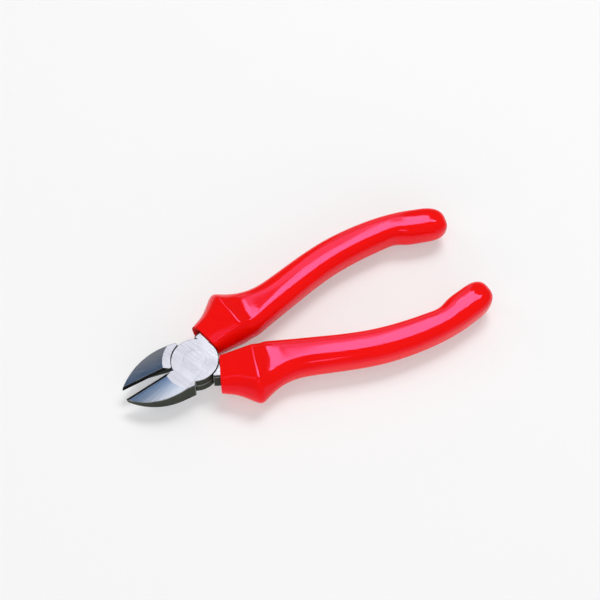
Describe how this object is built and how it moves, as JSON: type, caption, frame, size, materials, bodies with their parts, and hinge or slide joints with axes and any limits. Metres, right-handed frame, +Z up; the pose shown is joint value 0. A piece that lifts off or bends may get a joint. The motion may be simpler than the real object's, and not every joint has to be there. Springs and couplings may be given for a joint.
{
  "type": "side cutters",
  "caption": "Diagonal side cutters with two lapped steel levers on a flush rivet, tapered jaws with bevelled cutting edges and long moulded grips with a raised thumb guard.",
  "frame": {"origin": "centre of the bounding box in plan, on the surface that the guards of the two grips lie on", "axes": "+X from the jaw tips to the handle ends, +Y towards the upper grip, +Z up along the pivot"},
  "size_m": [0.1596, 0.0654, 0.0176],
  "materials": {
    "steel": "polished faces and ground jaws, with dark oxide on the side walls",
    "rivet": "polished flush with the head",
    "grip": "smooth glossy soft vinyl"
  },
  "bodies": {
    "upper_half": {"upper_lever": "steel", "upper_lever_grip": "grip", "joint_rivet": "rivet"},
    "lower_half": {"lower_lever": "steel", "lower_lever_grip": "grip"}
  },
  "joints": [
    {"name": "jaw_pivot", "type": "hinge", "parent": "upper_half", "child": "lower_half", "pos_m": [-0.04826, 0, 0.0088], "axis": [0, 0, -1], "range_deg": [-7.4, 28]}
  ]
}
